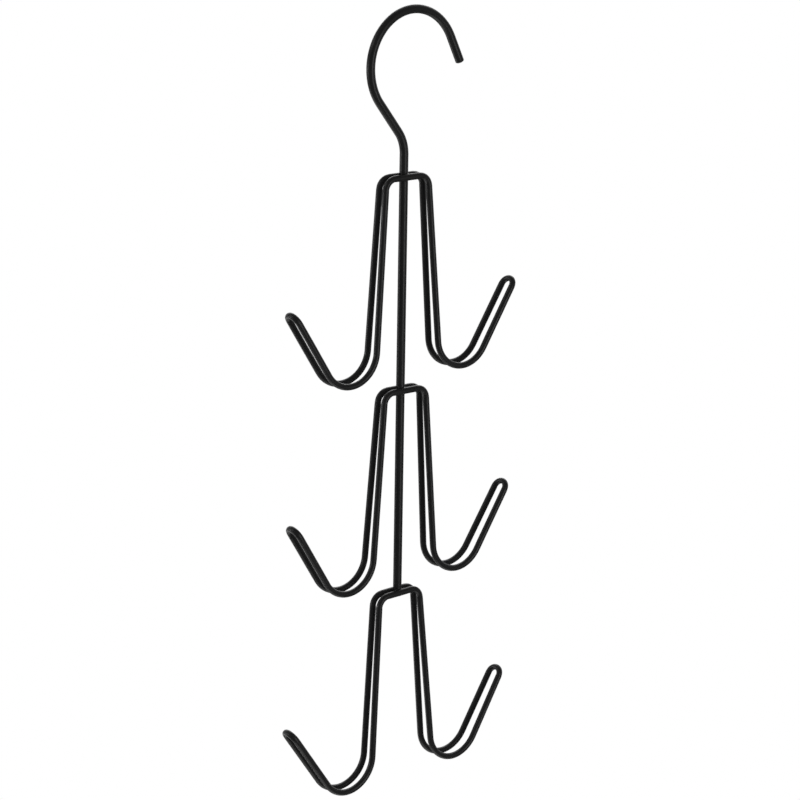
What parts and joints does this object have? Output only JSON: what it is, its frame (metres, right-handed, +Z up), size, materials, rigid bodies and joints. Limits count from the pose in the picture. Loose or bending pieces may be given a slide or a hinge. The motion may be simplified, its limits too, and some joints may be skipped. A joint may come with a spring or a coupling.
{
  "type": "multi-hook bag hanger",
  "caption": "Coated wire hanger with a closet hook and stem carrying stacked welded loops, each bent up into a rounded prong on both sides to hold bags by their handles.",
  "frame": {"origin": "the top of the hook's inner curve, where the hanger rests on the closet rod", "axes": "+Z up along the stem, +X along the loops to the side on which the hook is open, +Y to the back"},
  "size_m": [0.1726, 0.0164, 0.485],
  "materials": {
    "stem_coating": "satin black powder coating on thick steel wire",
    "loop_coating": "satin black powder coating on thin steel wire"
  },
  "bodies": {
    "root": {"hook_stem": "stem_coating", "top_tier_loop": "loop_coating", "middle_tier_loop": "loop_coating", "bottom_tier_loop": "loop_coating"}
  },
  "joints": []
}
